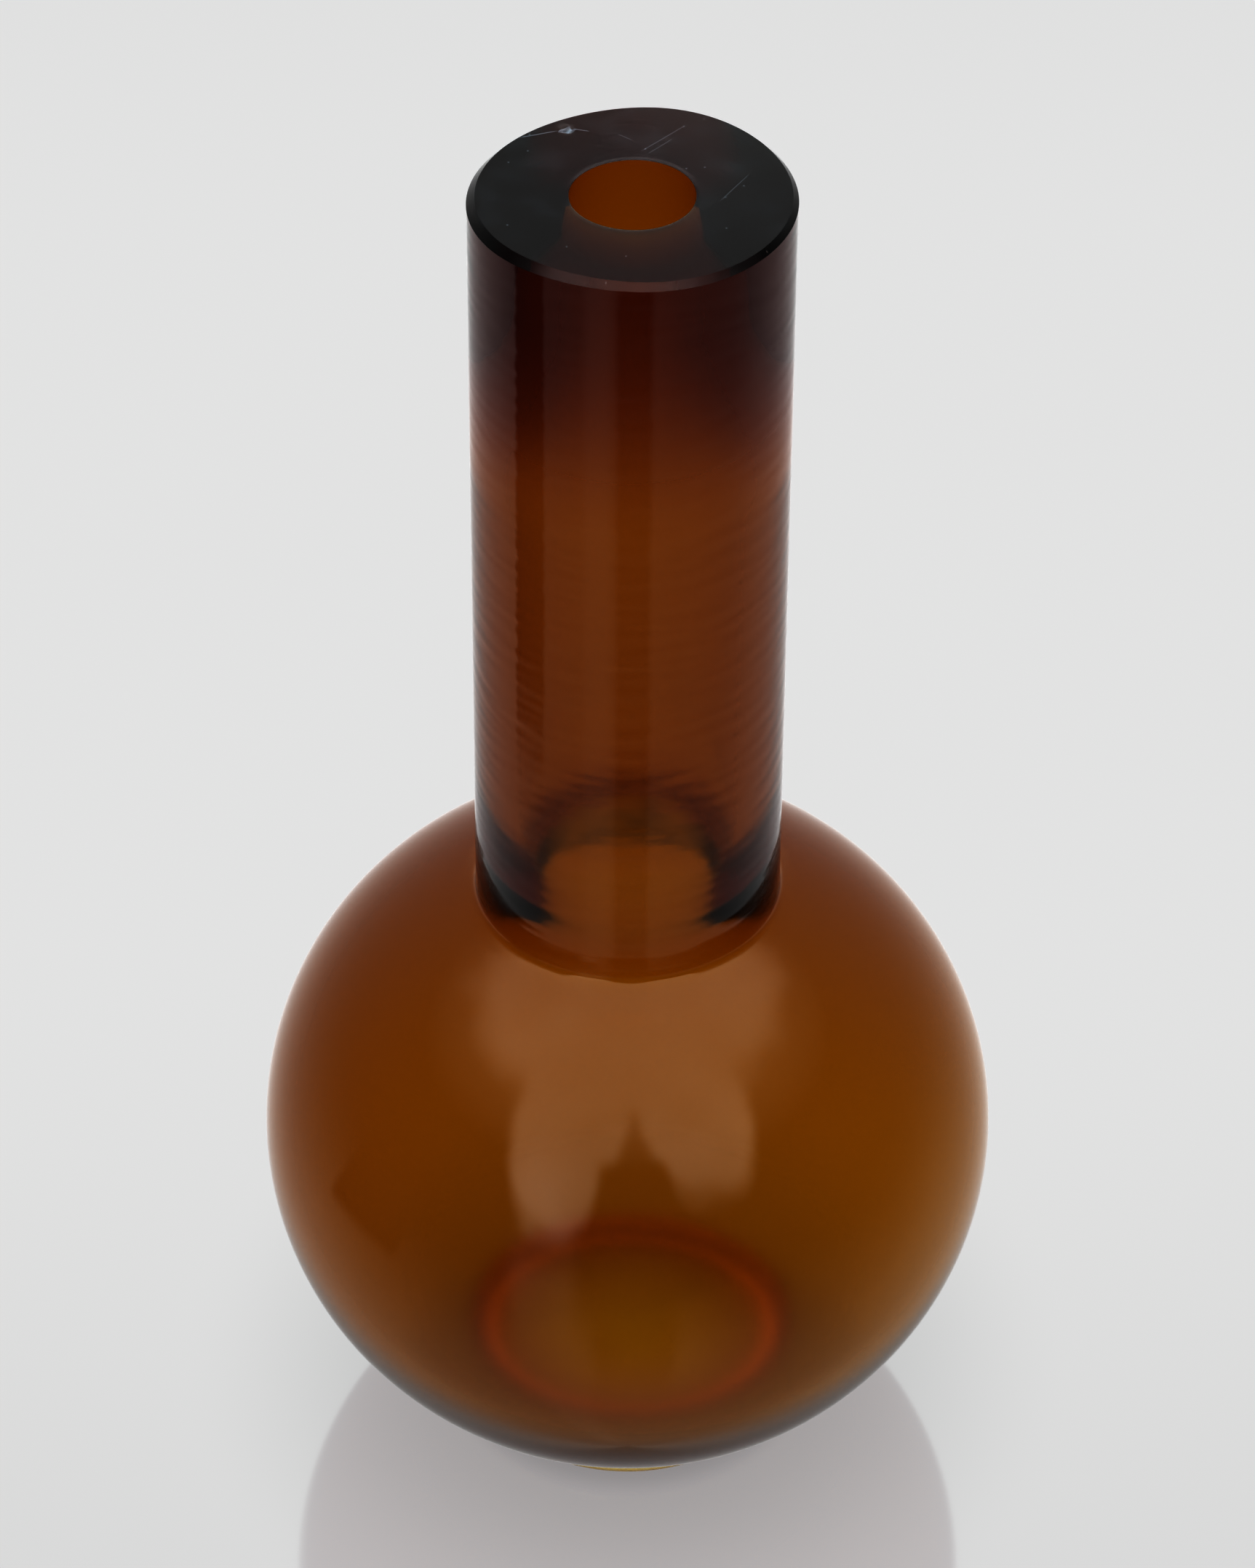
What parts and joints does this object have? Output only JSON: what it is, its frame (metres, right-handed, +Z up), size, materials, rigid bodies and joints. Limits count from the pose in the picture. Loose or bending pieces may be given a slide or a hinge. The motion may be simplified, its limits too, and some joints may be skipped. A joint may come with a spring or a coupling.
{
  "type": "long-neck flask",
  "caption": "Free-standing flask of clear amber glass: squat globe on a low foot ring, long straight thick-walled neck with a narrow bore at the flat ground mouth.",
  "frame": {"origin": "on the floor, at the middle of the foot ring", "axes": "+Z up the vessel's axis, from the foot to the mouth; +X and +Y are free, because the shape is turned about Z"},
  "size_m": [0.13, 0.13, 0.257],
  "materials": {
    "amber_glass": "clear amber brown, polished, with fine wheel-polishing lines on the neck and a ground mouth"
  },
  "bodies": {
    "root": {"flask": "amber_glass"}
  },
  "joints": []
}
